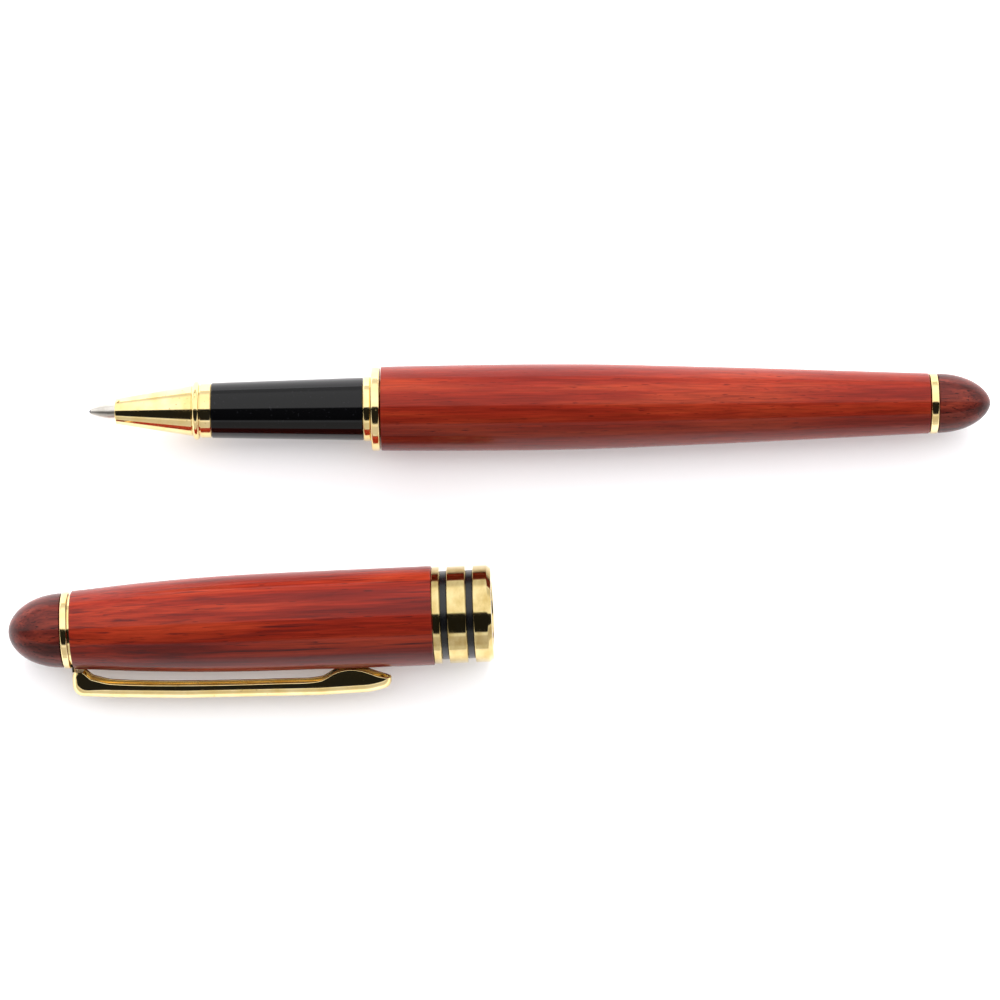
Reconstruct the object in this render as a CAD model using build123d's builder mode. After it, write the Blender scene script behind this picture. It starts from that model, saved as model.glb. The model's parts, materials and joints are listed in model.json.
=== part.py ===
from build123d import *
import os
from math import cos, radians, sin

# Rollerball pen lying on a table with its cap beside it. Millimetres, +Z up, table top at Z = 0.
# The pen points its tip towards -X. Every pen station below is a distance from the writing tip
# along the pen, and every cap station is a distance from the cap's finial end along the cap.

# ---- where the two bodies lie ----
pen_tip_x = -56.853
pen_y = 17.109
cap_end_x = -68.343
cap_end_y = -13.451
cap_yaw = 1.75
cap_tilt = 1.2
clip_roll = 10.0

# ---- pen, from tip to tail ----
ball_r = 0.35
tip_cone_end = 2.54
tip_r = 1.08
tip_shank_end = 9.0
nose_front = 3.67
nose_front_r = 1.78
cone_back = 14.5
cone_back_r = 3.5
bead_end = 15.8
bead_r = 4.08
band_end = 17.05
band_r = 3.8
grip_front_r = 3.84
grip_end = 38.15
grip_end_r = 4.38
section_end = 39.2
section_ring_r = 4.49
collar_end = 40.55
collar_r = 5.85
belly = 58.6
belly_r = 5.99
wood_front_r = 5.84
wood_end = 116.6
wood_end_r = 4.24
tail_ring_end = 117.8
tail_ring_r = 4.18
pen_length = 125.2
tail_finial_r = 4.13

# ---- refill, a standard 110.6 mm rollerball refill ----
refill_length = 110.6
refill_r = 3.05
refill_wall = 0.3
refill_shoulder = 18.5
feed_r = 1.75
feed_back = 26.0
plug_depth = 3.6
plug_flange_depth = 1.0
wick_r = 0.55
wick_front = 1.4

# ---- section and barrel fits ----
running_gap = 0.05
feed_play = 0.1
nose_rim = 0.15
bead_edge = 0.25
nose_step = 0.4
core_spigot_r = 2.9
core_spigot_front = 13.5
core_r = 3.45
thread_r = 3.95
thread_pitch = 0.8
thread_turns = 8.5
thread_end = section_end + thread_turns * thread_pitch
bush_r = 4.85
bush_end = 52.0
bush_relief = 1.0
thin_chamfer = 0.1
ring_chamfer = 0.12
collar_chamfer = 0.18
barrel_tube_r = 3.75
barrel_tube_wall = 0.3
tail_stud_front = 114.4
stud_r = 2.0
stud_reach = 3.6
spring_r = 2.5
spring_wire_r = 0.22
spring_turns = 4

# ---- cap, from finial end to mouth ----
cap_finial_end = 7.65
cap_finial_r = 5.15
cap_ring_end = 8.7
cap_ring_r = 5.33
eye_end = 8.95
eye_r = 4.85
cap_wood_front_r = 5.42
cap_wood_end = 59.1
cap_wood_end_r = 6.9
cap_bore_r = 4.55
cap_tube_wall = 0.25
cap_tube_end = 52.0
band_spigot_r = 5.7
mouth_r = 6.72
mouth_end = 67.3
groove_r = 5.95
groove_ring_r = 6.13
grooves = [(60.15, 61.2), (63.75, 64.8)]
mouth_chamfer = 0.6
mouth_rim_r = 6.4
mouth_lip = 0.8
groove_ring_round = 0.15
liner_r = 5.1
cap_stud_end = 13.5

# ---- finial domes, as shares of their length and radius ----
tail_shoulder = 0.67
cap_shoulder = 0.75
dome_shoulder_r = 0.86
dome_fullness = 1.25

# ---- clip, a pressed channel ----
clip_width = 3.4
clip_sheet = 0.35
clip_root_v = 8.8
clip_root_out = 5.8
clip_leg_depth = 1.4
clip_lip_out = 8.35
clip_end_v = 52.9
clip_hinge_gap = 0.05
clip_end_round = 0.95

pen_plane = Plane(origin=(pen_tip_x, pen_y, belly_r), x_dir=(1, 0, 0), z_dir=(0, -1, 0))
pen_axis = Axis(pen_plane.origin, pen_plane.x_dir)

# The cap rests on its belly, with its mouth raised a little and its clip clear of the table.
cap_belly = 31.0
cap_belly_r = 6.72
cap_end_z = cap_belly_r * cos(radians(cap_tilt)) - cap_belly * sin(radians(cap_tilt))


def laid(direction):
    """a direction of the level cap, turned to where the cap lies"""
    return direction.rotate(Axis.Y, -cap_tilt).rotate(Axis.Z, cap_yaw)


cap_along = laid(Vector(1, 0, 0))
cap_out = laid(Vector(0, -1, 0).rotate(Axis.X, clip_roll))
cap_across = cap_along.cross(cap_out)
cap_plane = Plane(origin=(cap_end_x, cap_end_y, cap_end_z), x_dir=cap_along, z_dir=cap_across)
cap_axis = Axis(cap_plane.origin, cap_plane.x_dir)


def outline(points, plane):
    """a closed straight-sided profile, each point a station along the axis and a radius"""
    with BuildSketch(plane) as profile:
        with BuildLine():
            Polyline(*points, close=True)
        make_face()
    return profile.sketch


def ring(front, back, inner_r, outer_r, plane):
    """the profile of a plain ring or tube"""
    return outline([(front, inner_r), (back, inner_r), (back, outer_r), (front, outer_r)], plane)


def curved_sleeve(crest, inner, plane):
    """a profile whose outside is a smooth curve through crest and whose inside is stepped"""
    with BuildSketch(plane) as profile:
        with BuildLine():
            Spline(*crest)
            Polyline(crest[-1], *inner, crest[0])
        make_face()
    return profile.sketch


def dome(base, tip, shoulder, base_r, hole_end, plane):
    """a domed finial from its flat base to its rounded end, with a blind hole in the base"""
    middle = base + (tip - base) * shoulder
    with BuildSketch(plane) as profile:
        with BuildLine():
            Spline(
                (base, base_r),
                (middle, base_r * dome_shoulder_r),
                (tip, 0),
                tangents=[(tip - base, 0), (0, -1)],
                tangent_scalars=[1.0, dome_fullness],
            )
            Polyline((tip, 0), (hole_end, 0), (hole_end, stud_r), (base, stud_r), (base, base_r))
        make_face()
    return profile.sketch


os.makedirs("parts", exist_ok=True)

# ---- refill ----

with BuildPart() as refill_ball:
    with BuildSketch(pen_plane):
        with BuildLine():
            CenterArc((ball_r, 0), ball_r, 0, 180)
            Line((0, 0), (2 * ball_r, 0))
        make_face()
    revolve(axis=pen_axis)
refill_ball.part.label = "refill_ball"
export_step(refill_ball.part, "parts/refill_ball.step")

# The ball runs in a socket that is rolled over its front.
socket_r = ball_r + 0.01
socket_reach = 0.1
socket_lip = 0.08
ink_hole_r = 0.2
ink_hole_end = 1.0


def on_socket(along):
    """the point of the socket's wall that lies along from the ball's centre"""
    return (ball_r + along, (socket_r**2 - along**2) ** 0.5)


with BuildPart() as refill_tip:
    with BuildSketch(pen_plane):
        with BuildLine():
            ThreePointArc(
                on_socket(-socket_reach),
                on_socket(socket_reach),
                on_socket((socket_r**2 - ink_hole_r**2) ** 0.5),
            )
            Polyline(
                on_socket((socket_r**2 - ink_hole_r**2) ** 0.5),
                (ink_hole_end, ink_hole_r),
                (wick_front - socket_reach, wick_r),
                (tip_shank_end, wick_r),
                (tip_shank_end, tip_r),
                (tip_cone_end, tip_r),
                (ball_r - socket_reach, socket_r + socket_lip),
                on_socket(-socket_reach),
            )
        make_face()
    revolve(axis=pen_axis)
refill_tip.part.label = "refill_tip"
export_step(refill_tip.part, "parts/refill_tip.step")

with BuildPart() as refill_feed:
    feed_inside = refill_r - refill_wall
    revolve(
        outline(
            [
                (tip_shank_end, wick_r),
                (tip_shank_end, feed_r),
                (refill_shoulder + refill_wall, feed_r),
                (refill_shoulder + refill_wall, feed_inside),
                (feed_back, feed_inside),
                (feed_back, wick_r),
            ],
            pen_plane,
        ),
        axis=pen_axis,
    )
refill_feed.part.label = "refill_feed"
export_step(refill_feed.part, "parts/refill_feed.step")

with BuildPart() as refill_wick:
    revolve(ring(wick_front, feed_back, 0, wick_r, pen_plane), axis=pen_axis)
refill_wick.part.label = "refill_wick"
export_step(refill_wick.part, "parts/refill_wick.step")

plug_front = refill_length - plug_depth
with BuildPart() as refill_reservoir:
    revolve(ring(feed_back, plug_front, 0, feed_inside, pen_plane), axis=pen_axis)
refill_reservoir.part.label = "refill_reservoir"
export_step(refill_reservoir.part, "parts/refill_reservoir.step")

plug_flange = refill_length - plug_flange_depth
with BuildPart() as refill_tube:
    revolve(
        outline(
            [
                (refill_shoulder, feed_r),
                (refill_shoulder, refill_r),
                (plug_flange, refill_r),
                (plug_flange, feed_inside),
                (refill_shoulder + refill_wall, feed_inside),
                (refill_shoulder + refill_wall, feed_r),
            ],
            pen_plane,
        ),
        axis=pen_axis,
    )
refill_tube.part.label = "refill_tube"
export_step(refill_tube.part, "parts/refill_tube.step")

with BuildPart() as refill_end_plug:
    revolve(
        outline(
            [
                (plug_front, 0),
                (plug_front, feed_inside),
                (plug_flange, feed_inside),
                (plug_flange, refill_r),
                (refill_length, refill_r),
                (refill_length, 0),
            ],
            pen_plane,
        ),
        axis=pen_axis,
    )
refill_end_plug.part.label = "refill_end_plug"
export_step(refill_end_plug.part, "parts/refill_end_plug.step")

# ---- section: nose and grip ----

nose_bore_r = tip_r + running_gap
feed_bore_r = feed_r + feed_play
with BuildPart() as nose_cone:
    revolve(
        outline(
            [
                (nose_front, nose_bore_r),
                (nose_front, nose_front_r - nose_rim),
                (nose_front + nose_rim, nose_front_r),
                (cone_back, cone_back_r),
                (cone_back, bead_r - bead_edge),
                (cone_back + bead_edge, bead_r),
                (bead_end - bead_edge, bead_r),
                (bead_end, bead_r - bead_edge),
                (bead_end, band_r),
                (band_end, band_r),
                (band_end, core_spigot_r),
                (core_spigot_front, core_spigot_r),
                (core_spigot_front, feed_bore_r),
                (tip_shank_end - nose_step, feed_bore_r),
                (tip_shank_end - nose_step, nose_bore_r),
            ],
            pen_plane,
        ),
        axis=pen_axis,
    )
nose_cone.part.label = "nose_cone"
export_step(nose_cone.part, "parts/nose_cone.step")

core_bore_r = refill_r + running_gap
with BuildPart() as grip_core:
    revolve(
        outline(
            [
                (core_spigot_front, feed_bore_r),
                (core_spigot_front, core_spigot_r),
                (band_end, core_spigot_r),
                (band_end, core_r),
                (section_end, core_r),
                (section_end, thread_r),
                (thread_end, thread_r),
                (thread_end, core_bore_r),
                (refill_shoulder, core_bore_r),
                (refill_shoulder, feed_bore_r),
            ],
            pen_plane,
        ),
        axis=pen_axis,
    )
grip_core.part.label = "grip_core"
export_step(grip_core.part, "parts/grip_core.step")

with BuildPart() as grip_sleeve:
    revolve(
        outline(
            [
                (band_end, core_r),
                (band_end, grip_front_r),
                (grip_end, grip_end_r),
                (grip_end, core_r),
            ],
            pen_plane,
        ),
        axis=pen_axis,
    )
grip_sleeve.part.label = "grip_sleeve"
export_step(grip_sleeve.part, "parts/grip_sleeve.step")

with BuildPart() as section_ring:
    revolve(ring(grip_end, section_end, core_r, section_ring_r, pen_plane), axis=pen_axis)
    chamfer(section_ring.faces().sort_by(Axis.X)[0].edges().sort_by(SortBy.RADIUS)[-1], ring_chamfer)
section_ring.part.label = "section_ring"
export_step(section_ring.part, "parts/section_ring.step")

# ---- barrel ----

bush_bore_r = thread_r + running_gap
collar_front = section_end + running_gap
with BuildPart() as barrel_collar:
    revolve(ring(collar_front, collar_end, bush_bore_r, collar_r, pen_plane), axis=pen_axis)
    chamfer(barrel_collar.faces().sort_by(Axis.X)[0].edges().sort_by(SortBy.RADIUS)[-1], collar_chamfer)
barrel_collar.part.label = "barrel_collar"
export_step(barrel_collar.part, "parts/barrel_collar.step")

tube_inside = barrel_tube_r - barrel_tube_wall
with BuildPart() as barrel_bush:
    revolve(
        outline(
            [
                (collar_end, bush_bore_r),
                (collar_end, bush_r),
                (bush_end, bush_r),
                (bush_end, tube_inside),
                (thread_end + bush_relief, tube_inside),
                (thread_end + bush_relief, bush_bore_r),
            ],
            pen_plane,
        ),
        axis=pen_axis,
    )
barrel_bush.part.label = "barrel_bush"
export_step(barrel_bush.part, "parts/barrel_bush.step")

with BuildPart() as barrel_tube:
    revolve(ring(bush_end, wood_end, tube_inside, barrel_tube_r, pen_plane), axis=pen_axis)
barrel_tube.part.label = "barrel_tube"
export_step(barrel_tube.part, "parts/barrel_tube.step")

barrel_crest = [
    (collar_end, wood_front_r),
    (47.0, 5.92),
    (belly, belly_r),
    (66.0, 5.95),
    (72.0, 5.85),
    (81.0, 5.56),
    (97.0, 4.96),
    (wood_end, wood_end_r),
]
barrel_inside = [
    (wood_end, barrel_tube_r),
    (bush_end, barrel_tube_r),
    (bush_end, bush_r),
    (collar_end, bush_r),
]
with BuildPart() as barrel_wood:
    revolve(curved_sleeve(barrel_crest, barrel_inside, pen_plane), axis=pen_axis)
barrel_wood.part.label = "barrel_wood"
export_step(barrel_wood.part, "parts/barrel_wood.step")

with BuildPart() as tail_stud:
    revolve(
        outline(
            [
                (tail_stud_front, 0),
                (tail_stud_front, tube_inside),
                (wood_end, tube_inside),
                (wood_end, stud_r),
                (tail_ring_end + stud_reach, stud_r),
                (tail_ring_end + stud_reach, 0),
            ],
            pen_plane,
        ),
        axis=pen_axis,
    )
tail_stud.part.label = "tail_stud"
export_step(tail_stud.part, "parts/tail_stud.step")

with BuildPart() as tail_ring:
    revolve(ring(wood_end, tail_ring_end, stud_r, tail_ring_r, pen_plane), axis=pen_axis)
    chamfer(tail_ring.edges().filter_by(GeomType.CIRCLE).sort_by(SortBy.RADIUS)[-2:], thin_chamfer)
tail_ring.part.label = "tail_ring"
export_step(tail_ring.part, "parts/tail_ring.step")

with BuildPart() as tail_finial:
    tail_dome = dome(
        tail_ring_end, pen_length, tail_shoulder, tail_finial_r, tail_ring_end + stud_reach, pen_plane
    )
    revolve(tail_dome, axis=pen_axis)
tail_finial.part.label = "tail_finial"
export_step(tail_finial.part, "parts/tail_finial.step")

# The spring between the refill's end and the tail stud pushes the refill forward.
spring_length = tail_stud_front - refill_length
spring_pitch = (spring_length - 2 * spring_wire_r) / spring_turns
spring_start = pen_plane.from_local_coords(Vector(refill_length + spring_wire_r, 0, 0))
spring_path = Helix(
    pitch=spring_pitch,
    height=spring_pitch * spring_turns,
    radius=spring_r,
    center=spring_start,
    direction=pen_plane.x_dir,
)
with BuildPart() as barrel_spring:
    with BuildSketch(Plane(origin=spring_path @ 0, z_dir=spring_path % 0)):
        Circle(spring_wire_r)
    sweep(path=spring_path)
barrel_spring.part.label = "barrel_spring"
export_step(barrel_spring.part, "parts/barrel_spring.step")

# ---- cap ----

with BuildPart() as cap_finial:
    cap_dome = dome(
        cap_finial_end, 0, cap_shoulder, cap_finial_r, cap_finial_end - stud_reach, cap_plane
    )
    revolve(cap_dome, axis=cap_axis)
cap_finial.part.label = "cap_finial"
export_step(cap_finial.part, "parts/cap_finial.step")

with BuildPart() as cap_top_ring:
    revolve(ring(cap_finial_end, cap_ring_end, stud_r, cap_ring_r, cap_plane), axis=cap_axis)
    chamfer(cap_top_ring.edges().filter_by(GeomType.CIRCLE).sort_by(SortBy.RADIUS)[-2:], thin_chamfer)
cap_top_ring.part.label = "cap_top_ring"
export_step(cap_top_ring.part, "parts/cap_top_ring.step")

cap_tube_r = cap_bore_r + cap_tube_wall
cap_stud_front = cap_finial_end - stud_reach
with BuildPart() as cap_stud:
    revolve(
        outline(
            [
                (cap_stud_front, 0),
                (cap_stud_front, stud_r),
                (eye_end, stud_r),
                (eye_end, cap_tube_r),
                (cap_stud_end, cap_tube_r),
                (cap_stud_end, 0),
            ],
            cap_plane,
        ),
        axis=cap_axis,
    )
cap_stud.part.label = "cap_stud"
export_step(cap_stud.part, "parts/cap_stud.step")

with BuildPart() as cap_tube:
    revolve(ring(cap_stud_end, cap_tube_end, cap_bore_r, cap_tube_r, cap_plane), axis=cap_axis)
cap_tube.part.label = "cap_tube"
export_step(cap_tube.part, "parts/cap_tube.step")

cap_crest = [
    (eye_end, cap_wood_front_r),
    (13.6, 5.77),
    (19.9, 6.23),
    (25.5, 6.54),
    (32.5, 6.75),
    (45.0, 6.83),
    (cap_wood_end, cap_wood_end_r),
]
cap_inside = [
    (cap_wood_end, band_spigot_r),
    (cap_tube_end, band_spigot_r),
    (cap_tube_end, cap_tube_r),
    (eye_end, cap_tube_r),
]
with BuildPart() as cap_wood:
    revolve(curved_sleeve(cap_crest, cap_inside, cap_plane), axis=cap_axis)
cap_wood.part.label = "cap_wood"
export_step(cap_wood.part, "parts/cap_wood.step")

mouth_profile = [
    (cap_tube_end, liner_r),
    (cap_tube_end, band_spigot_r),
    (cap_wood_end, band_spigot_r),
    (cap_wood_end, mouth_r),
]
for groove_front, groove_back in grooves:
    mouth_profile += [(groove_front, mouth_r), (groove_front, groove_r)]
    mouth_profile += [(groove_back, groove_r), (groove_back, mouth_r)]
mouth_profile += [
    (mouth_end - mouth_chamfer, mouth_r),
    (mouth_end, mouth_rim_r),
    (mouth_end, cap_bore_r),
    (mouth_end - mouth_lip, cap_bore_r),
    (mouth_end - mouth_lip, liner_r),
]
with BuildPart() as cap_mouth_band:
    revolve(outline(mouth_profile, cap_plane), axis=cap_axis)
cap_mouth_band.part.label = "cap_mouth_band"
export_step(cap_mouth_band.part, "parts/cap_mouth_band.step")

with BuildPart() as cap_liner:
    revolve(ring(cap_tube_end, mouth_end - mouth_lip, cap_bore_r, liner_r, cap_plane), axis=cap_axis)
cap_liner.part.label = "cap_liner"
export_step(cap_liner.part, "parts/cap_liner.step")

for place, (groove_front, groove_back) in zip(("rear", "front"), grooves):
    with BuildPart() as groove_ring:
        revolve(ring(groove_front, groove_back, groove_r, groove_ring_r, cap_plane), axis=cap_axis)
        round_edges = groove_ring.edges().filter_by(GeomType.CIRCLE).sort_by(SortBy.RADIUS)[-2:]
        fillet(round_edges, groove_ring_round)
    groove_ring.part.label = f"cap_groove_ring_{place}"
    export_step(groove_ring.part, f"parts/cap_groove_ring_{place}.step")

# ---- clip ----

# One pressed piece: the eye is clamped between the cap's ring and its wood, and the arm springs
# from the end of the eye's tab.
tab_end = clip_root_out - clip_hinge_gap
with BuildPart() as clip_eye:
    revolve(ring(cap_ring_end, eye_end, stud_r, eye_r, cap_plane), axis=cap_axis)
    extrude(
        ring(cap_ring_end, eye_end, stud_r, tab_end, cap_plane),
        amount=clip_width / 2 - clip_sheet,
        both=True,
    )
clip_eye.part.label = "clip_eye"
export_step(clip_eye.part, "parts/clip_eye.step")


def clip_back(inset):
    """the arm's leg, bend, back and rounded end from the side, drawn in from the outside by inset"""
    root = clip_root_v + inset
    end = clip_end_v - inset
    spine = [(root, 9.3), (14.0, 9.75), (24.0, 10.25), (43.0, 10.6), (50.0, 10.42), (end, 9.75)]
    bends = [1.55 - inset, 12, 40, 40, 8, 1.5 - inset]
    spine = [(along, out - inset) for along, out in spine]
    return FilletPolyline((root, clip_root_out), *spine, (end, clip_lip_out), radius=bends)


def clip_plan(inset):
    """the arm seen from outside: parallel sides and a round end, drawn in by inset"""
    half = clip_width / 2 - inset
    with BuildSketch(Plane(origin=cap_plane.origin, x_dir=cap_along, z_dir=cap_out)) as plan:
        with Locations((clip_end_v / 2, 0)):
            Rectangle(clip_end_v - 2 * inset, 2 * half)
        fillet(plan.vertices().sort_by(cap_axis)[-2:], half * clip_end_round)
    return plan.sketch


# The flanges' free edges run along the arm, rise in a hump that presses on the cap, and fall
# away to the end.
flange_edge = [
    (clip_end_v, clip_lip_out),
    (51.0, 7.88),
    (49.0, 7.1),
    (47.1, 6.8),
    (45.2, 7.2),
    (43.0, 8.25),
    (38.0, 8.36),
    (24.0, 8.1),
    (14.0, 7.5),
    (11.3, 6.8),
    (clip_root_v + clip_leg_depth, clip_root_out),
]
with BuildPart() as clip_hollow:
    with BuildSketch(cap_plane):
        with BuildLine():
            inside = clip_back(clip_sheet)
            Polyline(inside @ 1, (clip_end_v - clip_sheet, 0), (clip_root_v + clip_sheet, 0), inside @ 0)
        make_face()
    extrude(amount=clip_width / 2 - clip_sheet, both=True)
    extrude(clip_plan(clip_sheet), amount=2 * clip_root_out, mode=Mode.INTERSECT)

with BuildPart() as clip:
    with BuildSketch(cap_plane):
        with BuildLine():
            outside = clip_back(0)
            Spline(*flange_edge[:-1])
            Polyline(flange_edge[-2], flange_edge[-1], outside @ 0)
        make_face()
    extrude(amount=clip_width / 2, both=True)
    extrude(clip_plan(0), amount=2 * clip_root_out, mode=Mode.INTERSECT)
    add(clip_hollow.part, mode=Mode.SUBTRACT)
clip.part.label = "clip"
export_step(clip.part, "parts/clip.step")
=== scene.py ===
import json
import math

import bmesh
import bpy
from mathutils import Matrix, Vector


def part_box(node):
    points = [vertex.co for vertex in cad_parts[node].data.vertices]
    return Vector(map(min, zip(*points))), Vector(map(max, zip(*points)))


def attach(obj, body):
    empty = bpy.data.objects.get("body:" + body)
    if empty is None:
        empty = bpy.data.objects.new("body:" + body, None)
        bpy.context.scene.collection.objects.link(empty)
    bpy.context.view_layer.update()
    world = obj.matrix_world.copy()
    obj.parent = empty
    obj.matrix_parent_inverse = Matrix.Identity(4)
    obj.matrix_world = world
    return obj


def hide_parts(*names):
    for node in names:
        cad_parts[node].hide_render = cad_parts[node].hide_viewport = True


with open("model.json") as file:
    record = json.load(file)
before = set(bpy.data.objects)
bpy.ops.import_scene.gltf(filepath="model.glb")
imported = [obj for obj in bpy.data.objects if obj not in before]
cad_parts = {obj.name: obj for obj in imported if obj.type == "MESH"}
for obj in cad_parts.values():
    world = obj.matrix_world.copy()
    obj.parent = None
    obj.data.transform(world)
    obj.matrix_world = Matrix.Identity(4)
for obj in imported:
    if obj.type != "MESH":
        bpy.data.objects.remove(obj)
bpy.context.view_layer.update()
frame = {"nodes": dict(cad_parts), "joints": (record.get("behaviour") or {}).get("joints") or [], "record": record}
nodes = frame["nodes"]
mounts = {mount["name"]: mount for mount in frame["record"]["mounts"]}
joints = {joint["name"]: joint for joint in frame["joints"]}
mm = 0.001  # every size below is in millimetres, and the scene is in metres


def hexColor(code):  # an sRGB hex colour as linear light
    parts = [int(code[i:i + 2], 16) / 255 for i in (0, 2, 4)]
    linear = [c / 12.92 if c <= 0.04045 else ((c + 0.055) / 1.055) ** 2.4 for c in parts]
    return (*linear, 1)


def addNode(tree, kind, inputs=None, stops=None, **settings):
    node = tree.nodes.new("ShaderNode" + kind)
    for name, value in settings.items():
        setattr(node, name, value)
    for name, value in (inputs or {}).items():
        if isinstance(value, bpy.types.NodeSocket):
            tree.links.new(value, node.inputs[name])
        else:
            node.inputs[name].default_value = value
    for i, (position, color) in enumerate(stops or []):
        ramp = node.color_ramp.elements
        stop = ramp[i] if i < len(ramp) else ramp.new(position)
        stop.position = position
        stop.color = color
    return node


def newMaterial(name):
    material = bpy.data.materials.new(name)
    material.use_nodes = True
    material.node_tree.nodes.clear()
    return material, material.node_tree


def surface(tree, inputs):  # the one shader of a material, joined to its output
    shader = addNode(tree, "BsdfPrincipled", inputs)
    addNode(tree, "OutputMaterial", {"Surface": shader.outputs[0]})


# where the two bodies lie: the pen points its tip to -X, and stations run from the tip,
# or on the cap from its wooden end
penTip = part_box("refill_ball")[0].x
penAxisPoint = Vector(joints["section_unscrew"]["pos_m"])
penPlace = Matrix.Translation((penTip, penAxisPoint.y, penAxisPoint.z))

capLength = 67.3
capAlong = Vector(mounts["cap_bore"]["axis"])
capAcross = Vector(joints["clip_lift"]["axis"])
capOut = capAcross.cross(capAlong)  # from the cap's axis towards the clip
capEnd = Vector(mounts["cap_bore"]["pos_m"]) - capAlong * capLength * mm
capPlace = Matrix.Translation(capEnd) @ Matrix((capAlong, capOut, capAcross)).transposed().to_4x4()

view = {
    "distance": 600,
    "width": 138.9,  # how much of the table the picture spans at the pen's height
    "aimX": 0.1,
    "aimY": 4.264,
    "roll": -0.565,  # degrees
    "sensor": 36,
}


def addCamera():
    data = bpy.data.cameras.new("camera")
    data.sensor_width = view["sensor"]
    data.lens = view["sensor"] * view["distance"] / view["width"]
    data.clip_start = 0.01
    camera = bpy.data.objects.new("camera", data)
    camera.location = (view["aimX"] * mm, view["aimY"] * mm, view["distance"] * mm + penAxisPoint.z)
    camera.rotation_euler = (0, 0, math.radians(view["roll"]))
    bpy.context.scene.collection.objects.link(camera)
    bpy.context.scene.camera = camera
    bpy.context.scene.view_settings.view_transform = "Standard"


studio = {
    "softbox": 1.5,  # brightness of the big soft light on the pen's side
    "softboxFade": 8,  # degrees over which its far edge fades in
    "tent": 0.95,  # brightness of the white tent all round
    "gap": 0.015,  # brightness of the dark gap overhead, where the camera looks in
    "slit": 1.045,  # brightness of the narrow slit beside the gap
    "dim": (0.72, 0.69, 0.66),  # a warmer, dimmer stretch of the tent beyond the slit
    "dimFade": 4,
    "far": 0.86,  # brightness of the tent behind the cap
    "softboxFrom": -68,  # degrees from straight up, positive towards the cap's side
    "gapFrom": -4,
    "gapTo": 43,
    "slitTo": 51,
    "dimTo": 76,
    "edge": 1.2,  # degrees over which one level turns into the next
}


def white(level):
    return (level, level, level)


def lightTent():  # white tent with a softbox and a dark gap overhead, painted by direction
    world = bpy.data.worlds.new("lightTent")
    world.use_nodes = True
    tree = world.node_tree
    tree.nodes.clear()
    direction = addNode(tree, "TexCoord").outputs["Generated"]
    parts = addNode(tree, "SeparateXYZ", {0: direction})
    away = addNode(tree, "Math", {0: parts.outputs["Y"], 1: -1.0}, operation="MULTIPLY")
    angle = addNode(tree, "Math", {0: away.outputs[0], 1: parts.outputs["Z"]}, operation="ARCTAN2")
    share = addNode(tree, "MapRange", {0: angle.outputs[0], 1: -math.pi, 2: math.pi})
    tones = [
        (-180, white(studio["tent"])),
        (studio["softboxFrom"] - studio["softboxFade"], white(studio["tent"])),
        (studio["softboxFrom"], white(studio["softbox"])),
        (studio["gapFrom"] - studio["edge"], white(studio["softbox"])),
        (studio["gapFrom"], white(studio["gap"])),
        (studio["gapTo"], white(studio["gap"])),
        (studio["gapTo"] + studio["edge"], white(studio["slit"])),
        (studio["slitTo"], white(studio["slit"])),
        (studio["slitTo"] + studio["edge"], studio["dim"]),
        (studio["dimTo"], studio["dim"]),
        (studio["dimTo"] + studio["dimFade"], white(studio["far"])),
    ]
    stops = [(0.5 + degrees / 360, (*tone, 1)) for degrees, tone in tones]
    ramp = addNode(tree, "ValToRGB", {0: share.outputs[0]}, stops=stops)
    glow = addNode(tree, "Background", {"Color": ramp.outputs[0], "Strength": 1.0})
    addNode(tree, "OutputWorld", {"Surface": glow.outputs[0]})
    bpy.context.scene.world = world


tableFill = {"power": 5.0, "size": 1.2, "height": 0.4}  # watts and metres
tableSize = 4


# Melamine board, pressed smooth: an even soft white with hardly any sheen.
def melamineTableTop():
    material, tree = newMaterial("melamineTableTop")
    cloud = addNode(tree, "TexNoise", {"Vector": addNode(tree, "TexCoord").outputs["Object"], "Scale": 9.0})
    tone = addNode(tree, "ValToRGB", {0: cloud.outputs["Fac"]},
                   stops=[(0.3, hexColor("EFEEF0")), (0.7, hexColor("F2F1F2"))])
    surface(tree, {"Base Color": tone.outputs[0], "Roughness": 0.6})
    return material


def addTable():
    bpy.ops.mesh.primitive_grid_add(x_subdivisions=4, y_subdivisions=4, size=tableSize, location=(0, 0, 0))
    table = bpy.context.object
    table.name = "tableTop"
    table.data.materials.append(melamineTableTop())
    lit = bpy.data.collections.new("tableOnly")
    lit.objects.link(table)
    data = bpy.data.lights.new("tableFill", "AREA")  # lifts the table to white and leaves the pen alone
    data.energy = tableFill["power"]
    data.size = tableFill["size"]
    fill = bpy.data.objects.new("tableFill", data)
    fill.location = (0, 0, tableFill["height"])
    fill.visible_glossy = False
    fill.light_linking.receiver_collection = lit
    bpy.context.scene.collection.objects.link(fill)


key = {"power": 7.6, "size": 0.4, "distance": 0.8, "lean": 56}  # watts, metres, degrees from straight up


def keyLight():  # soft daylight from the pen's side, which shades the wood from orange to deep red
    data = bpy.data.lights.new("key", "AREA")
    data.energy = key["power"]
    data.size = key["size"]
    lean = math.radians(key["lean"])
    light = bpy.data.objects.new("key", data)
    light.location = (0, key["distance"] * math.sin(lean), key["distance"] * math.cos(lean))
    light.rotation_euler = (-lean, 0, 0)
    light.visible_glossy = False
    bpy.context.scene.collection.objects.link(light)


addCamera()
lightTent()
keyLight()
addTable()
print("camera, light tent and table are set")


# materials

def stretchedNoise(tree, along, across, detail=2.0, shift=0.0):  # grain of that size in mm, along the axis
    coords = addNode(tree, "TexCoord").outputs["Object"]
    sizes = (1 / (along * mm), 1 / (across * mm), 1 / (across * mm))
    placed = addNode(tree, "Mapping", {"Vector": coords, "Location": (shift, shift, shift), "Scale": sizes})
    return addNode(tree, "TexNoise", {"Vector": placed.outputs[0], "Scale": 1.0, "Detail": detail}).outputs["Fac"]


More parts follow.
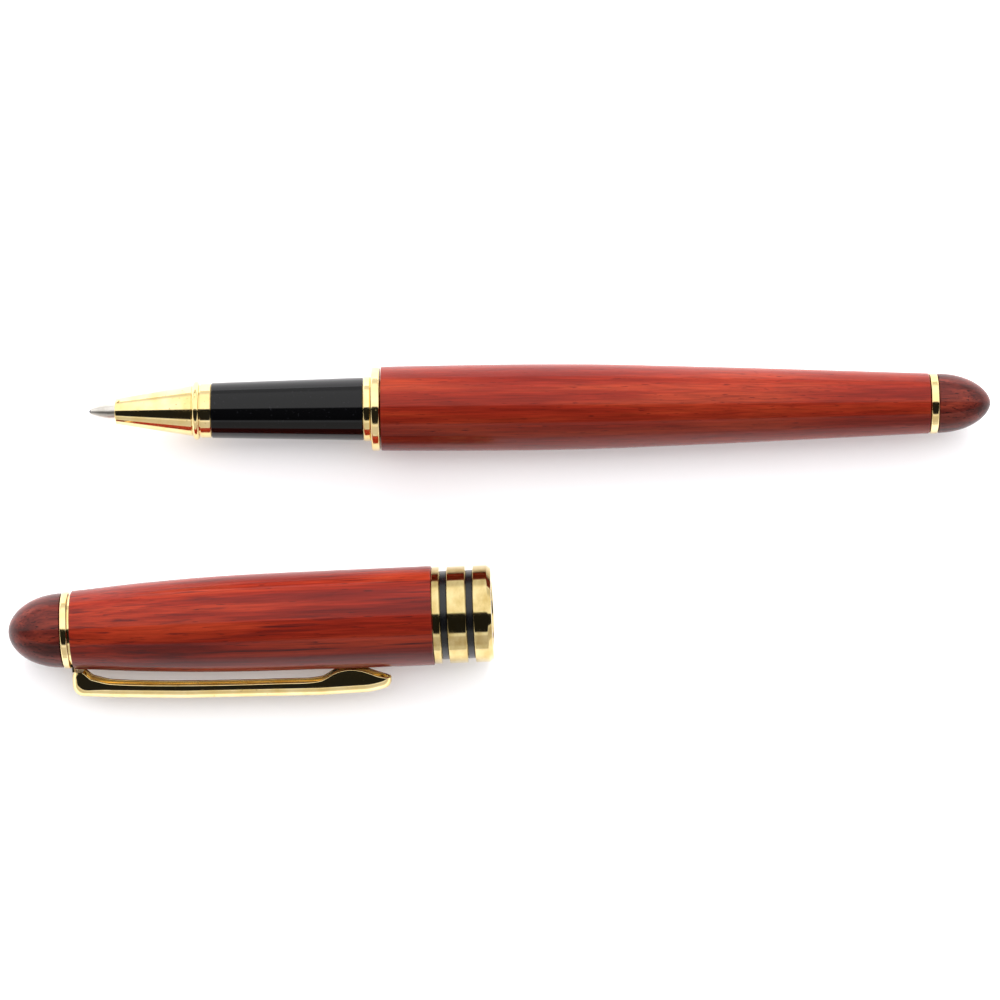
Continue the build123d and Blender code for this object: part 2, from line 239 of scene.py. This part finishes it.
def between(tree, share, low, high):  # share, a noise or mask, spread from low to high
    return addNode(tree, "MapRange", {0: share, 1: 0.3, 2: 0.7, 3: low, 4: high}).outputs[0]


def above(tree, share, start, blend):  # a mask that turns on where share passes start
    return addNode(tree, "MapRange", {0: share, 1: start, 2: start + blend}).outputs[0]


def painted(tree, share, under, over):  # under where share is 0, over where it is 1
    return addNode(tree, "Mix", {0: share, 6: under, 7: over}, data_type="RGBA").outputs[2]


barrelRosewood = {
    "deep": "6E180D", "main": "802212", "light": "903019",  # heartwood tones
    "pore": "5A150C",
    "streak": "60150D",
    "band": (34, 1.9),  # length and width in mm of the broad colour bands
    "fibre": (6, 0.2),
    "poreSize": (1.9, 0.18),
    "poreFrom": 0.67,
    "streakSize": (9, 0.45),
    "streakFrom": 0.64,
}

capRosewood = {
    "deep": "5E140E", "main": "7E2012", "light": "96301A",
    "pore": "481410",
    "streak": "501614",
    "band": (40, 2.0),
    "fibre": (8, 0.24),
    "poreSize": (2.6, 0.2),
    "poreFrom": 0.68,
    "streakSize": (13, 0.5),
    "streakFrom": 0.56,
}

finialRosewood = {
    "deep": "3E1612", "main": "5A201A", "light": "7A2F22",
    "pore": "32110F",
    "streak": "331413",
    "band": (12, 1.6),
    "fibre": (4, 0.22),
    "poreSize": (1.2, 0.22),
    "poreFrom": 0.62,
    "streakSize": (5, 0.4),
    "streakFrom": 0.62,
}


lacquer = {
    "fibreShade": (0.72, 1.22),  # how far the fibres darken and lighten the colour
    "streakBlend": 0.14,
    "poreBlend": 0.08,
    "ripple": (2.5, 1.5),  # length and width in mm of the faint waves in the lacquer
    "rippleDepth": 0.01,
    "woodRoughness": (0.42, 0.55),
    "coat": 0.55, "coatRoughness": 0.09, "coatIor": 1.35,
}


# Rosewood, turned and sanded, then sprayed with thin clear lacquer: fine grain and dark pores
# under a soft gloss that leaves the wood's own colour to be seen.
def lacqueredRosewood(name, wood, shift):
    material, tree = newMaterial(name)
    bands = stretchedNoise(tree, *wood["band"], detail=3.0, shift=shift)
    fibres = stretchedNoise(tree, *wood["fibre"], detail=3.0, shift=shift + 3)
    pores = stretchedNoise(tree, *wood["poreSize"], detail=1.0, shift=shift + 7)
    streaks = stretchedNoise(tree, *wood["streakSize"], detail=4.0, shift=shift + 11)
    heart = addNode(tree, "ValToRGB", {0: bands}, stops=[
        (0.34, hexColor(wood["deep"])), (0.5, hexColor(wood["main"])), (0.66, hexColor(wood["light"]))])
    shade = between(tree, fibres, *lacquer["fibreShade"])
    grained = addNode(tree, "VectorMath", {0: heart.outputs[0], "Scale": shade}, operation="SCALE")
    streakMask = above(tree, streaks, wood["streakFrom"], lacquer["streakBlend"])
    streaked = painted(tree, streakMask, grained.outputs[0], hexColor(wood["streak"]))
    poreMask = above(tree, pores, wood["poreFrom"], lacquer["poreBlend"])
    pored = painted(tree, poreMask, streaked, hexColor(wood["pore"]))
    waves = stretchedNoise(tree, *lacquer["ripple"], detail=2.0, shift=shift + 17)
    relief = addNode(tree, "Bump", {"Height": waves, "Strength": 0.12, "Distance": lacquer["rippleDepth"] * mm})
    surface(tree, {"Base Color": pored, "Roughness": between(tree, fibres, *lacquer["woodRoughness"]),
                   "IOR": 1.4, "Specular IOR Level": 0.1,
                   "Coat Weight": lacquer["coat"], "Coat Roughness": lacquer["coatRoughness"],
                   "Coat IOR": lacquer["coatIor"],
                   "Normal": relief.outputs[0], "Coat Normal": relief.outputs[0]})
    return material


goldPlate = {
    "tone": "F9E4AE",
    "deepTone": "EDD08C",
    "scratch": (0.05, 5),  # fine polishing lines round the turned rings, in mm
    "pit": (0.5, 0.5),
    "pitFrom": 0.7,
    "pitTone": "A88448",
    "roughness": (0.06, 0.13),
}


# Brass, turned and buffed, then plated pale gold: a bright mirror with a few pits and hairline
# polishing marks running round it.
def polishedGoldPlate():
    material, tree = newMaterial("polishedGoldPlate")
    lines = stretchedNoise(tree, *goldPlate["scratch"], detail=2.0)
    clouds = stretchedNoise(tree, 2.5, 2.5, detail=3.0, shift=5)
    pits = stretchedNoise(tree, *goldPlate["pit"], detail=2.0, shift=9)
    blend = between(tree, clouds, 0.0, 1.0)
    tone = painted(tree, blend, hexColor(goldPlate["tone"]), hexColor(goldPlate["deepTone"]))
    pitMask = above(tree, pits, goldPlate["pitFrom"], 0.06)
    toned = painted(tree, pitMask, tone, hexColor(goldPlate["pitTone"]))
    relief = addNode(tree, "Bump", {"Height": lines, "Strength": 0.06, "Distance": 0.004 * mm})
    sunk = addNode(tree, "Bump", {"Height": pitMask, "Strength": 0.3, "Distance": 0.02 * mm,
                                  "Normal": relief.outputs[0]}, invert=True)
    surface(tree, {"Base Color": toned, "Metallic": 1.0, "Roughness": between(tree, clouds, *goldPlate["roughness"]),
                   "Normal": sunk.outputs[0]})
    return material


wornBand = {
    "bright": "DFCB94",
    "rubbed": "C2A86A",
    "line": (0.07, 8),
    "patch": (1.4, 2.2),
    "roughness": (0.06, 0.13),
}


# The same plate on the mouth band, which is gripped each time the pen is opened: deeper in tone,
# rubbed in patches, with turning lines that spread the reflections.
def wornGoldPlate():
    material, tree = newMaterial("wornGoldPlate")
    lines = stretchedNoise(tree, *wornBand["line"], detail=3.0)
    patches = stretchedNoise(tree, *wornBand["patch"], detail=5.0, shift=4)
    blend = between(tree, patches, 0.0, 1.0)
    tone = painted(tree, blend, hexColor(wornBand["bright"]), hexColor(wornBand["rubbed"]))
    relief = addNode(tree, "Bump", {"Height": lines, "Strength": 0.25, "Distance": 0.006 * mm})
    surface(tree, {"Base Color": tone, "Metallic": 1.0, "Roughness": between(tree, patches, *wornBand["roughness"]),
                   "Normal": relief.outputs[0]})
    return material


gripLacquer = {"tone": "060607", "dust": "17171A", "speck": (0.35, 0.35), "speckFrom": 0.7, "ior": 1.36}


# Black lacquer, sprayed on a brass tube and polished: deep black, sharp reflections, a few dust specks.
def blackLacquer():
    material, tree = newMaterial("blackLacquer")
    specks = stretchedNoise(tree, *gripLacquer["speck"], detail=1.0)
    mask = above(tree, specks, gripLacquer["speckFrom"], 0.04)
    tone = painted(tree, mask, hexColor(gripLacquer["tone"]), hexColor(gripLacquer["dust"]))
    peel = stretchedNoise(tree, 3.5, 2.5, detail=1.0, shift=6)
    relief = addNode(tree, "Bump", {"Height": peel, "Strength": 0.1, "Distance": 0.01 * mm})
    surface(tree, {"Base Color": tone, "Roughness": between(tree, peel, 0.05, 0.09), "IOR": gripLacquer["ior"],
                   "Normal": relief.outputs[0]})
    return material


# ABS, moulded: an even black with the satin skin of a plain steel mould.
def mouldedBlackPlastic():
    material, tree = newMaterial("mouldedBlackAbs")
    skin = stretchedNoise(tree, 0.12, 0.12, detail=2.0)
    tone = painted(tree, skin, hexColor("08080A"), hexColor("121215"))
    relief = addNode(tree, "Bump", {"Height": skin, "Strength": 0.15, "Distance": 0.004 * mm})
    surface(tree, {"Base Color": tone, "Roughness": between(tree, skin, 0.2, 0.3), "IOR": 1.5,
                   "Normal": relief.outputs[0]})
    return material


turnedMetals = {  # tone, darker tone, least and most roughness, depth of the turning lines in mm
    "turnedNickelSilver": ("E4E0DA", "C4BEB4", 0.3, 0.42, 0.006),
    "turnedBrass": ("E2C583", "C6A45F", 0.18, 0.34, 0.01),
    "drawnSteel": ("C4C5C8", "A5A6AA", 0.2, 0.36, 0.004),
}


# Bar stock turned on an automatic lathe, or drawn tube: metal with fine lines round it and a little
# darker where it has been handled.
def turnedMetal(name):
    tone, darkTone, smooth, rough, depth = turnedMetals[name]
    material, tree = newMaterial(name)
    lines = stretchedNoise(tree, 0.06, 6, detail=3.0)
    handled = stretchedNoise(tree, 1.8, 1.8, detail=4.0, shift=8)
    color = painted(tree, between(tree, handled, 0.0, 1.0), hexColor(tone), hexColor(darkTone))
    relief = addNode(tree, "Bump", {"Height": lines, "Strength": 0.3, "Distance": depth * mm})
    surface(tree, {"Base Color": color, "Metallic": 1.0, "Roughness": between(tree, lines, smooth, rough),
                   "Normal": relief.outputs[0]})
    return material


# Tungsten carbide, sintered and ground: a hard grey ball whose fine pores hold the ink.
def sinteredCarbide():
    material, tree = newMaterial("sinteredCarbide")
    pores = stretchedNoise(tree, 0.03, 0.03, detail=2.0)
    color = painted(tree, between(tree, pores, 0.0, 1.0), hexColor("8C8D93"), hexColor("3B3B42"))
    surface(tree, {"Base Color": color, "Metallic": 1.0, "Roughness": between(tree, pores, 0.12, 0.3)})
    return material


# Polypropylene, moulded without pigment: milky, faintly see-through and softly shiny.
def naturalPolypropylene():
    material, tree = newMaterial("naturalPolypropylene")
    flow = stretchedNoise(tree, 4, 0.8, detail=2.0)
    color = painted(tree, flow, hexColor("E6E6E0"), hexColor("F4F4F0"))
    surface(tree, {"Base Color": color, "Roughness": between(tree, flow, 0.32, 0.48), "IOR": 1.49,
                   "Subsurface Weight": 0.15, "Subsurface Radius": (0.001, 0.001, 0.0008)})
    return material


# Polyester fibre, bonded into a rod and soaked in ink: matt blue-black strands along the rod.
def inkedFibre():
    material, tree = newMaterial("inkSoakedFibre")
    strands = stretchedNoise(tree, 5, 0.06, detail=2.0)
    color = painted(tree, between(tree, strands, 0.0, 1.0), hexColor("14142A"), hexColor("2B2B4C"))
    relief = addNode(tree, "Bump", {"Height": strands, "Strength": 0.6, "Distance": 0.02 * mm})
    surface(tree, {"Base Color": color, "Roughness": 0.75, "Normal": relief.outputs[0]})
    return material


materials = {
    "barrel_wood": lacqueredRosewood("lacqueredRosewoodBarrel", barrelRosewood, 1.0),
    "cap_wood": lacqueredRosewood("lacqueredRosewoodCap", capRosewood, 40.0),
    "dark_wood": lacqueredRosewood("lacqueredRosewoodFinial", finialRosewood, 80.0),
    "gold_plate": polishedGoldPlate(),
    "worn_gold": wornGoldPlate(),
    "black_lacquer": blackLacquer(),
    "black_plastic": mouldedBlackPlastic(),
    "nickel_silver": turnedMetal("turnedNickelSilver"),
    "carbide": sinteredCarbide(),
    "steel": turnedMetal("drawnSteel"),
    "white_plastic": naturalPolypropylene(),
    "ink_fibre": inkedFibre(),
    "brass": turnedMetal("turnedBrass"),
}
print("materials are mixed:", len(materials))


# shapes

def roundedPath(points, steps=6, closed=True):  # corners (x, y, radius) joined by lines and arcs
    path = []
    for i, (x, y, radius) in enumerate(points):
        corner = Vector((x, y))
        if radius == 0 or (not closed and i in (0, len(points) - 1)):
            path.append(corner)
            continue
        before = (Vector(points[i - 1][:2]) - corner).normalized()
        after = (Vector(points[(i + 1) % len(points)][:2]) - corner).normalized()
        half = before.angle(after) / 2
        centre = corner + (before + after).normalized() * radius / math.sin(half)
        first = corner + before * radius / math.tan(half) - centre
        last = corner + after * radius / math.tan(half) - centre
        for step in range(steps + 1):
            path.append(centre + first.lerp(last, step / steps).normalized() * radius)
    return path


def smoothCurve(points, steps=8):  # a curve through points, with slopes taken from their neighbours
    slopes = []
    for i in range(len(points)):
        a, b = points[max(i - 1, 0)], points[min(i + 1, len(points) - 1)]
        slopes.append((b[1] - a[1]) / (b[0] - a[0]))
    curve = []
    for (x0, y0), (x1, y1), m0, m1 in zip(points, points[1:], slopes, slopes[1:]):
        for step in range(steps):
            t = step / steps
            y = ((1 + 2 * t) * (1 - t) ** 2 * y0 + t * (1 - t) ** 2 * (x1 - x0) * m0
                 + t * t * (3 - 2 * t) * y1 + t * t * (t - 1) * (x1 - x0) * m1)
            curve.append((x0 + (x1 - x0) * t, y, 0))
    curve.append((*points[-1], 0))
    return curve


def finishMesh(name, shape, sharpFrom=38):
    bmesh.ops.recalc_face_normals(shape, faces=shape.faces)
    mesh = bpy.data.meshes.new(name)
    shape.to_mesh(mesh)
    shape.free()
    mesh.polygons.foreach_set("use_smooth", [True] * len(mesh.polygons))
    mesh.set_sharp_from_angle(angle=math.radians(sharpFrom))
    return mesh


def turned(name, profile, segments=192, cut=None):  # a profile of stations and radii, spun round the axis
    shape = bmesh.new()
    rings = []
    for along, radius in roundedPath(profile):
        if radius < 0.001:
            rings.append([shape.verts.new((along * mm, 0, 0))])
            continue
        ring = []
        for k in range(segments):
            turn = 2 * math.pi * k / segments
            r = radius - (cut(along, radius, turn) if cut else 0)
            ring.append(shape.verts.new((along * mm, r * math.cos(turn) * mm, r * math.sin(turn) * mm)))
        rings.append(ring)
    onAxis = len(rings[0]) == 1 and len(rings[-1]) == 1
    for a, b in zip(rings, rings[1:] if onAxis else rings[1:] + rings[:1]):
        for k in range(segments):
            following = (k + 1) % segments
            corners = [a[k % len(a)], a[following % len(a)], b[following % len(b)], b[k % len(b)]]
            corners = list(dict.fromkeys(corners))
            if len(corners) > 2:
                shape.faces.new(corners)
    return finishMesh(name, shape)


def addPiece(name, mesh, place, slotName, body, *replaced):
    piece = bpy.data.objects.new(name, mesh)
    bpy.context.scene.collection.objects.link(piece)
    piece.matrix_world = place
    mesh.materials.append(materials[slotName])
    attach(piece, body)
    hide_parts(*replaced)
    return piece


ball = {"radius": 0.35, "steps": 24}


def writingBall():
    arc = []
    for step in range(ball["steps"] + 1):
        turn = math.pi * step / ball["steps"]
        arc.append((ball["radius"] * (1 - math.cos(turn)), ball["radius"] * math.sin(turn), 0))
    addPiece("writingBall", turned("writingBall", arc, 64), penPlace, "carbide", "ball", "refill_ball")


tip = {
    "lip": 0.24, "lipRadius": 0.43,
    "cone": [(0.42, 0.5), (1.1, 0.74), (1.9, 0.94), (2.54, 1.05)],  # slightly convex
    "shankRadius": 1.08, "shankFrom": 2.6, "end": 9.0,
    "socket": [(0.24, 0.37), (0.5, 0.36)],  # the ball's seat, from the lip to its floor
    "inkHole": 0.2, "inkHoleFrom": 0.72, "inkHoleTo": 1.0,
    "wick": 0.5, "wickFrom": 1.3,
}


def refillTip():
    profile = [
        (*tip["socket"][0], 0),
        (tip["lip"], tip["lipRadius"], 0.05),
        *smoothCurve(tip["cone"], 6),
        (tip["shankFrom"], tip["shankRadius"], 0.03),
        (tip["end"], tip["shankRadius"], 0),
        (tip["end"], tip["wick"], 0),
        (tip["wickFrom"], tip["wick"], 0),
        (tip["inkHoleTo"], tip["inkHole"], 0),
        (tip["inkHoleFrom"], tip["inkHole"], 0),
        (*tip["socket"][1], 0),
    ]
    addPiece("refillTip", turned("refillTip", profile, 96), penPlace, "nickel_silver", "refill", "refill_tip")


nose = {
    "front": 3.67, "frontRadius": 1.78, "bore": 1.13,
    "coneBack": 14.4, "coneBackRadius": 3.54,
    "beadRadius": 4.08, "beadFront": 14.52, "beadEnd": 15.42,
    "bandRadius": 3.8, "bandFront": 15.58, "bandEnd": 17.05,
    "grooveRadius": 3.3, "rearGrooveRadius": 3.5,
    "inside": 2.9, "insideFrom": 13.5, "feedBore": 1.85, "feedBoreFrom": 8.6,
}


def noseCone():
    profile = [
        (nose["front"], nose["bore"], 0),
        (nose["front"], nose["frontRadius"], 0.2),
        (nose["coneBack"], nose["coneBackRadius"], 0.06),
        (nose["coneBack"], nose["grooveRadius"], 0),
        (nose["beadFront"], nose["grooveRadius"], 0),
        (nose["beadFront"], nose["beadRadius"], 0.42),
        (nose["beadEnd"], nose["beadRadius"], 0.42),
        (nose["beadEnd"], nose["rearGrooveRadius"], 0),
        (nose["bandFront"], nose["rearGrooveRadius"], 0),
        (nose["bandFront"], nose["bandRadius"], 0.06),
        (nose["bandEnd"] - 0.02, nose["bandRadius"], 0.08),
        (nose["bandEnd"] - 0.02, nose["inside"], 0),
        (nose["insideFrom"], nose["inside"], 0),
        (nose["insideFrom"], nose["feedBore"], 0),
        (nose["feedBoreFrom"], nose["feedBore"], 0),
        (nose["feedBoreFrom"], nose["bore"], 0),
    ]
    addPiece("noseCone", turned("noseCone", profile), penPlace, "gold_plate", "section", "nose_cone")


grip = {"front": 17.1, "frontRadius": 3.84, "back": 38.1, "backRadius": 4.38, "inside": 3.45, "edge": 0.12}


def gripSleeve():
    profile = [
        (grip["front"], grip["inside"], 0),
        (grip["front"], grip["frontRadius"], grip["edge"]),
        (grip["back"], grip["backRadius"], grip["edge"]),
        (grip["back"], grip["inside"], 0),
    ]
    addPiece("gripSleeve", turned("gripSleeve", profile), penPlace, "black_lacquer", "section", "grip_sleeve")


core = {
    "spigotFront": 13.5, "spigot": 2.9, "spigotEnd": 17.05, "body": 3.45,
    "threadFrom": 39.2, "threadTo": 46.0, "crest": 3.95, "pitch": 0.8, "depth": 0.42,
    "bore": 3.1, "boreFront": 18.5, "feedBore": 1.85, "step": 0.05,
    "flank": 3.2, "grooveTop": 1.25,  # how steeply the groove's sides fall, and how wide its floor is
}


def threadCut(along, radius, turn):  # how deep the thread's groove lies below the crest there
    if radius < core["body"] + 0.01:
        return 0
    phase = (along / core["pitch"] - turn / (2 * math.pi)) % 1
    groove = min(1, max(0, core["grooveTop"] - abs(phase - 0.5) * core["flank"]))
    fromEnd = min(along - core["threadFrom"], core["threadTo"] - along) / core["pitch"]
    return core["depth"] * groove * min(1, max(0.0, fromEnd * 2))


def gripCore():
    count = round((core["threadTo"] - core["threadFrom"]) / core["step"])
    thread = [(core["threadFrom"] + core["step"] * i, core["crest"], 0) for i in range(1, count)]
    profile = [
        (core["spigotFront"], core["feedBore"], 0),
        (core["spigotFront"], core["spigot"], 0),
        (core["spigotEnd"], core["spigot"], 0),
        (core["spigotEnd"], core["body"], 0),
        (core["threadFrom"], core["body"], 0),
        *thread,
        (core["threadTo"], core["crest"] - 0.3, 0),
        (core["threadTo"], core["bore"], 0),
        (core["boreFront"], core["bore"], 0),
        (core["boreFront"], core["feedBore"], 0),
    ]
    mesh = turned("gripCore", profile, 160, threadCut)
    addPiece("gripCore", mesh, penPlace, "brass", "section", "grip_core")


# front and back station, inner and outer radius, edge radius, where, body, node
plainRings = {
    "sectionRing": (38.16, 39.2, 3.45, 4.5, 0.22, penPlace, "section", "section_ring"),
    "barrelCollar": (39.25, 40.46, 4.0, 5.85, 0.3, penPlace, "barrel", "barrel_collar"),
    "tailRing": (116.68, 117.76, 2.0, 4.21, 0.22, penPlace, "barrel", "tail_ring"),
    "capTopRing": (7.7, 8.68, 2.0, 5.37, 0.25, capPlace, "cap", "cap_top_ring"),
}


def goldRings():
    for name, (front, back, inside, outside, edge, place, body, node) in plainRings.items():
        profile = [(front, inside, 0), (front, outside, edge), (back, outside, edge), (back, inside, 0)]
        addPiece(name, turned(name, profile), place, "gold_plate", body, node)


barrel = {
    "crest": [(40.57, 5.84), (47, 5.92), (58.6, 5.99), (66, 5.95), (72, 5.85), (81, 5.56),
              (91.7, 5.18), (107, 4.57), (116.6, 4.18)],
    "edge": 0.16,
    "bushEnd": 52.0, "bush": 4.85, "tube": 3.75,
}


def turnedSleeve(crest, edge):  # the crest curve with its two ends eased
    curve = smoothCurve(crest, 10)
    return [(*curve[0][:2], edge), *curve[1:-1], (*curve[-1][:2], edge)]


def barrelWood():
    profile = [
        *turnedSleeve(barrel["crest"], barrel["edge"]),
        (barrel["crest"][-1][0], barrel["tube"], 0),
        (barrel["bushEnd"], barrel["tube"], 0),
        (barrel["bushEnd"], barrel["bush"], 0),
        (barrel["crest"][0][0], barrel["bush"], 0),
    ]
    addPiece("barrelWood", turned("barrelWood", profile), penPlace, "barrel_wood", "barrel", "barrel_wood")


# base and end station, base radius, and the powers that set how full the dome is
finials = {
    "tailFinial": (117.82, 125.2, 4.13, 2.0, 1.8, penPlace, "barrel", "tail_finial"),
    "capFinial": (7.6, 0, 5.17, 2.0, 1.95, capPlace, "cap", "cap_finial"),
}
dome = {"steps": 40, "edge": 0.14, "hole": 2.0, "holeDepth": 3.6}


def woodenEnds():
    for name, (base, end, radius, lengthPower, radiusPower, place, body, node) in finials.items():
        crest = []
        for step in range(1, dome["steps"]):
            share = math.sin(math.pi / 2 * step / dome["steps"])
            bulge = (1 - share ** lengthPower) ** (1 / radiusPower)
            crest.append((base + (end - base) * share, radius * bulge, 0))
        depth = math.copysign(dome["holeDepth"], end - base)
        profile = [
            (end, 0, 0),
            *reversed(crest),
            (base, radius, dome["edge"]),
            (base, dome["hole"], 0),
            (base + depth, dome["hole"], 0),
            (base + depth, 0, 0),
        ]
        addPiece(name, turned(name, profile), place, "dark_wood", body, node)


capBody = {
    "crest": [(9.0, 5.42), (12.9, 5.72), (17.1, 6.05), (21.3, 6.3), (26.8, 6.56), (33.8, 6.74),
              (45, 6.83), (59.05, 6.88)],
    "edge": 0.2,
    "spigot": 5.7, "spigotFront": 52.0, "tube": 4.8,
}


def capWood():
    profile = [
        *turnedSleeve(capBody["crest"], capBody["edge"]),
        (capBody["crest"][-1][0], capBody["spigot"], 0),
        (capBody["spigotFront"], capBody["spigot"], 0),
        (capBody["spigotFront"], capBody["tube"], 0),
        (capBody["crest"][0][0], capBody["tube"], 0),
    ]
    addPiece("capWood", turned("capWood", profile), capPlace, "cap_wood", "cap", "cap_wood")


mouth = {
    "front": 59.1, "end": 67.3, "radius": 6.72, "rimRadius": 6.4,
    "grooves": [(60.15, 61.2), (63.75, 64.8)], "grooveFloor": 5.95, "ringRadius": 6.13,
    "liner": 5.1, "bore": 4.55, "lip": 0.8, "edge": 0.12, "play": 0.03,
}


def mouthBand():
    profile = [
        (capBody["spigotFront"], mouth["liner"], 0),
        (capBody["spigotFront"], capBody["spigot"], 0),
        (mouth["front"], capBody["spigot"], 0),
        (mouth["front"], mouth["radius"], mouth["edge"]),
    ]
    for front, back in mouth["grooves"]:
        profile += [(front, mouth["radius"], mouth["edge"]), (front, mouth["grooveFloor"], 0)]
        profile += [(back, mouth["grooveFloor"], 0), (back, mouth["radius"], mouth["edge"])]
    profile += [
        (mouth["end"] - 0.6, mouth["radius"], 0.3),
        (mouth["end"], mouth["rimRadius"] - 0.1, 0.15),
        (mouth["end"], mouth["bore"], 0.1),
        (mouth["end"] - mouth["lip"], mouth["bore"], 0),
        (mouth["end"] - mouth["lip"], mouth["liner"], 0),
    ]
    addPiece("mouthBand", turned("mouthBand", profile), capPlace, "worn_gold", "cap", "cap_mouth_band")
    for side, (front, back) in zip(("rear", "front"), mouth["grooves"]):
        ring = [
            (front + mouth["play"], mouth["grooveFloor"], 0),
            (front + mouth["play"], mouth["ringRadius"], mouth["edge"]),
            (back - mouth["play"], mouth["ringRadius"], mouth["edge"]),
            (back - mouth["play"], mouth["grooveFloor"], 0),
        ]
        name = "grooveRing" + side.capitalize()
        addPiece(name, turned(name, ring), capPlace, "black_plastic", "cap", "cap_groove_ring_" + side)
    linerEnd = mouth["end"] - mouth["lip"] - 0.02
    liner = [
        (capBody["spigotFront"], mouth["bore"], 0),
        (capBody["spigotFront"], mouth["liner"] - 0.02, 0),
        (linerEnd, mouth["liner"] - 0.02, 0),
        (linerEnd, mouth["bore"], 0.2),
    ]
    addPiece("capLiner", turned("capLiner", liner), capPlace, "black_plastic", "cap", "cap_liner")


clipShape = {
    "back": [  # the outside seen from the side: station, height over the cap's axis, bend radius
        (8.82, 5.8, 0), (8.5, 6.5, 0.6), (8.5, 9.3, 1.6), (14, 9.75, 12), (24, 10.25, 40), (43, 10.6, 40),
        (50, 10.42, 8), (52.88, 9.75, 1.2), (52.88, 8.5, 0)],
    "edge": [  # the flanges' free edge, with the hump that presses on the cap
        (10.2, 5.8), (11.3, 6.8), (14, 7.5), (24, 8.1), (38, 8.36), (43, 8.25),
        (45.2, 7.2), (47.1, 6.82), (49, 7.1), (51, 7.88), (52.86, 8.4)],
    "halfWidth": 1.7, "sheet": 0.3, "corner": 1.6, "crown": 0.02,
    "cornerOfWidth": 0.96, "cornerOfDepth": 0.85,  # the most of the channel that the corner may take
    "bendEnd": 14,  # where the root's bend runs out into the arm
    "endFrom": 51.1,  # where the round end begins
    "leastDepth": 0.5, "leastWidth": 0.1,  # so that the end closes without folding over itself
    "stations": 150, "edgePoints": 400, "cornerSteps": 8, "edgeSteps": 6,
}


def evenly(path, count):  # count points at equal steps along a path
    lengths = [0]
    for a, b in zip(path, path[1:]):
        lengths.append(lengths[-1] + (b - a).length)
    spaced = []
    leg = 0
    for i in range(count):
        reach = lengths[-1] * i / (count - 1)
        while leg < len(path) - 2 and lengths[leg + 1] < reach:
            leg += 1
        share = (reach - lengths[leg]) / (lengths[leg + 1] - lengths[leg])
        spaced.append(path[leg].lerp(path[leg + 1], min(1, share)))
    return spaced


def channelSection(half, depth):  # half width and depth to a closed outline: across and inwards
    corner = min(clipShape["corner"], half * clipShape["cornerOfWidth"], depth * clipShape["cornerOfDepth"])
    sheet = min(clipShape["sheet"], half * 0.8)
    inner = max(corner - sheet, 0.02)
    right = []
    for step in range(clipShape["cornerSteps"] + 1):  # outer corner
        turn = math.pi / 2 * step / clipShape["cornerSteps"]
        across = half - corner + corner * math.sin(turn)
        right.append((across, corner * (1 - math.cos(turn)) + clipShape["crown"] * (across / half) ** 2))
    for step in range(clipShape["edgeSteps"] + 1):  # the flange's rounded free edge
        turn = math.pi * step / clipShape["edgeSteps"]
        right.append((half - sheet / 2 + sheet / 2 * math.cos(turn), depth - sheet / 2 + sheet / 2 * math.sin(turn)))
    for step in range(clipShape["edgeSteps"] + 1):  # inner corner
        turn = math.pi / 2 * step / clipShape["edgeSteps"]
        right.append((half - sheet - inner + inner * math.cos(turn), sheet + inner - inner * math.sin(turn)))
    return right + [(-across, inwards) for across, inwards in reversed(right)]


def clipArm():
    back = evenly(roundedPath(clipShape["back"], 10, closed=False), clipShape["stations"])
    edgeCurve = [Vector(point) for point in clipShape["edge"][:2]]
    edgeCurve += [Vector(point[:2]) for point in smoothCurve(clipShape["edge"][1:], 10)[1:]]
    edgeSpaced = evenly(edgeCurve, clipShape["edgePoints"])
    bendStations = next(k for k, p in enumerate(back) if p.x >= clipShape["bendEnd"])
    bendEdgePoints = next(k for k, p in enumerate(edgeSpaced) if p.x >= clipShape["bendEnd"])
    shape = bmesh.new()
    loops = []
    for i, point in enumerate(back):
        if point.x < clipShape["bendEnd"]:  # fan round the bend
            foot = edgeSpaced[round(i / bendStations * bendEdgePoints)]
        else:
            foot = next((p for p in edgeSpaced if p.x >= point.x), edgeSpaced[-1])
        inward = foot - point
        depth = max(inward.length, clipShape["leastDepth"])
        inward = inward.normalized() if inward.length > 0.3 else Vector((-0.3, -1)).normalized()
        half = clipShape["halfWidth"]
        if point.x > clipShape["endFrom"]:
            reach = (point.x - clipShape["endFrom"]) / (clipShape["back"][-1][0] + 0.02 - clipShape["endFrom"])
            half *= max(math.sqrt(max(0, 1 - reach * reach)), clipShape["leastWidth"])
        loop = []
        for across, inwards in channelSection(half, depth):
            place = point + inward * inwards
            loop.append(shape.verts.new((place.x * mm, place.y * mm, across * mm)))
        loops.append(loop)
    count = len(loops[0])
    for a, b in zip(loops, loops[1:]):
        for k in range(count):
            following = (k + 1) % count
            shape.faces.new((a[k], a[following], b[following], b[k]))
    for loop in (loops[0], loops[-1]):
        for k in range(count // 2 - 1):  # the channel's ends, closed in strips
            shape.faces.new((loop[k], loop[k + 1], loop[count - 2 - k], loop[count - 1 - k]))
    mesh = finishMesh("clipArm", shape, 50)
    addPiece("clipArm", mesh, capPlace, "gold_plate", "clip", "clip")


writingBall()
refillTip()
noseCone()
gripSleeve()
gripCore()
goldRings()
barrelWood()
woodenEnds()
print("the pen is turned")
capWood()
mouthBand()
clipArm()
print("the cap is turned and its clip is bent")

carriedOver = {part["node"]: part["material_slot"] for part in frame["record"]["subparts"]}
for name, slotName in carriedOver.items():
    node = nodes[name]
    if node.hide_render:
        continue
    node.data.materials.clear()
    node.data.materials.append(materials[slotName])
print("inner parts are dressed")
